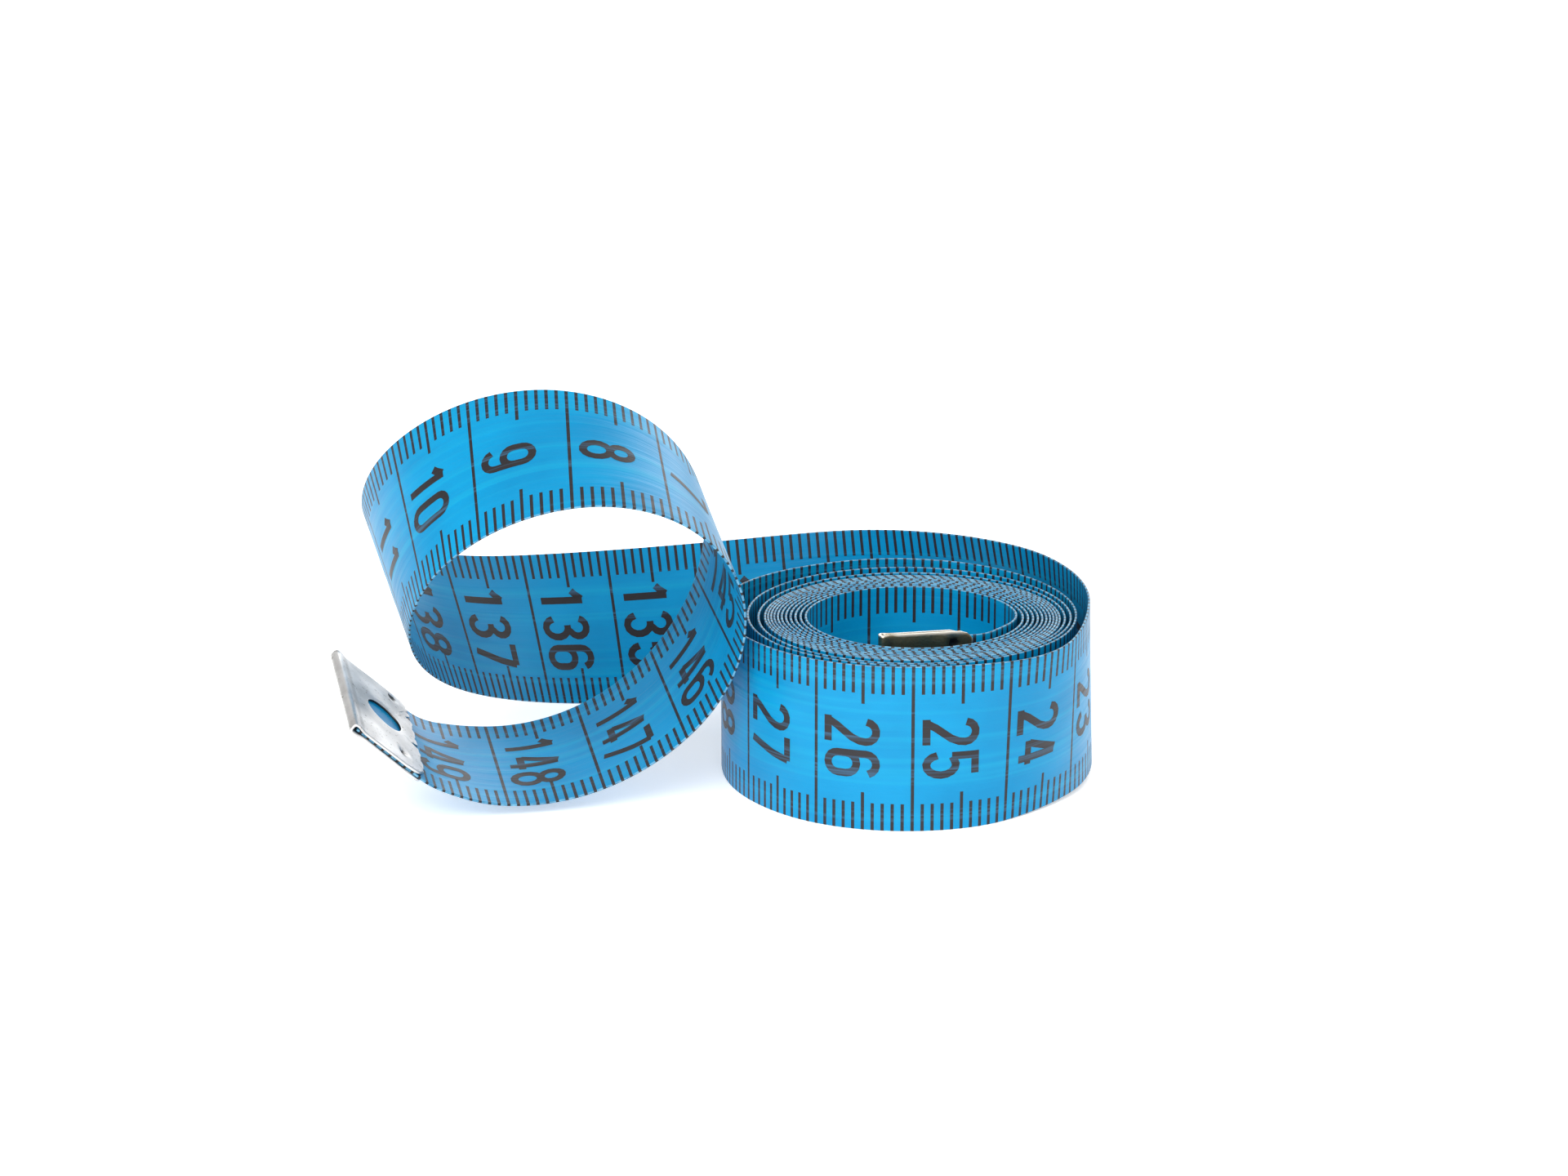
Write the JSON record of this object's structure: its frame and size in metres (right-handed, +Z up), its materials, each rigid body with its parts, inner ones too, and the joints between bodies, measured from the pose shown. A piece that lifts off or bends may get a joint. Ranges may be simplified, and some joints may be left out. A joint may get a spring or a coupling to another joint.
{
  "type": "tape measure",
  "caption": "Soft tailor's tape measure: a coated ribbon rolled on its edge, with one free loop and folded sheet-metal tips on both ends.",
  "frame": {"origin": "centre of the bounding box's bottom face, on the table", "axes": "+Z up along the roll's axis; +X along the longest side, from the free end's tip towards the roll; -Y is the side the free loop leans over"},
  "size_m": [0.0792, 0.0525, 0.0423],
  "materials": {
    "vinyl": "satin, printed in black",
    "tip_metal": "nickel plate, lightly scratched"
  },
  "bodies": {
    "roll": {"tape_roll": "vinyl"},
    "back_run": {"tape_back_run": "vinyl"},
    "loop_top": {"tape_loop_top": "vinyl"},
    "low_run": {"tape_low_run": "vinyl"},
    "free_end": {"tape_end": "vinyl", "end_tip": "tip_metal"},
    "inner_end": {"tape_inner_tail": "vinyl", "inner_end_tip": "tip_metal"}
  },
  "joints": [
    {"name": "back_flex", "type": "hinge", "parent": "roll", "child": "back_run", "pos_m": [-0.00953, 0.01889, 0.00837], "axis": [0.1369, -0.4414, -0.8868], "range_deg": [0, 20], "stiffness_Nm_per_rad": 0.02},
    {"name": "left_flex", "type": "hinge", "parent": "back_run", "child": "loop_top", "pos_m": [-0.03373, -0.00805, 0.0227], "axis": [0.327, -0.6392, -0.6961], "range_deg": [0, 10], "stiffness_Nm_per_rad": 0.02},
    {"name": "foot_flex", "type": "hinge", "parent": "loop_top", "child": "low_run", "pos_m": [-0.00162, -0.0101, 0.01363], "axis": [-0.2621, 0.9316, 0.2519], "range_deg": [-10, 3], "stiffness_Nm_per_rad": 0.02},
    {"name": "end_flex", "type": "hinge", "parent": "low_run", "child": "free_end", "pos_m": [-0.0205, -0.01192, 0.00257], "axis": [-0.2089, 0.9634, 0.168], "range_deg": [-20, 6], "stiffness_Nm_per_rad": 0.01},
    {"name": "tail_flex", "type": "hinge", "parent": "roll", "child": "inner_end", "pos_m": [0.03123, -0.00771, 0.00865], "axis": [0, 0, -1], "range_deg": [0, 30], "stiffness_Nm_per_rad": 0.01}
  ]
}
